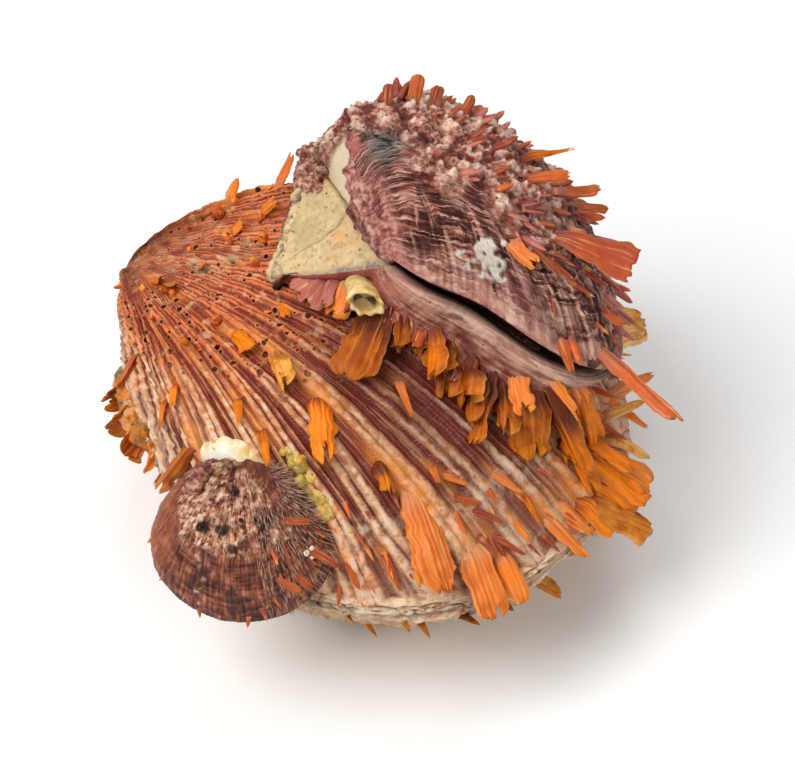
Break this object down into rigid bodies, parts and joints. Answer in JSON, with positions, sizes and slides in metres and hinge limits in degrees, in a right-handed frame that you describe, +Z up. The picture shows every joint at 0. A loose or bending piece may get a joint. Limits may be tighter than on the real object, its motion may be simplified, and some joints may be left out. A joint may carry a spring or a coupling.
{
  "type": "spiny oyster shell",
  "caption": "Natural cluster of spiny oysters cemented to each other: ribbed hollow valves bearing leafy orange spines, resting on a flat attachment scar.",
  "frame": {"origin": "middle of the flat scar under the large lower valve, on the surface the cluster rests on", "axes": "+Z up, out of the large upper valve; +X to the right and -Y to the front as the picture shows the cluster"},
  "size_m": [0.1424, 0.1316, 0.1103],
  "materials": {
    "large_upper_shell": "dry ribbed shell, brick red grooves between cream ribs, orange leaves",
    "large_lower_shell": "dull cream and ochre flaky shell",
    "medium_upper_shell": "purple brown shell with pale worn patches",
    "medium_lower_shell": "cream hinge triangle, mauve band and orange leaves",
    "small_upper_shell": "brown finely ribbed shell with pale flaky patches",
    "small_lower_shell": "dull brown and cream shell"
  },
  "bodies": {
    "root": {"large_upper_valve": "large_upper_shell", "large_lower_valve": "large_lower_shell", "medium_upper_valve": "medium_upper_shell", "medium_lower_valve": "medium_lower_shell", "small_upper_valve": "small_upper_shell", "small_lower_valve": "small_lower_shell"}
  },
  "joints": []
}
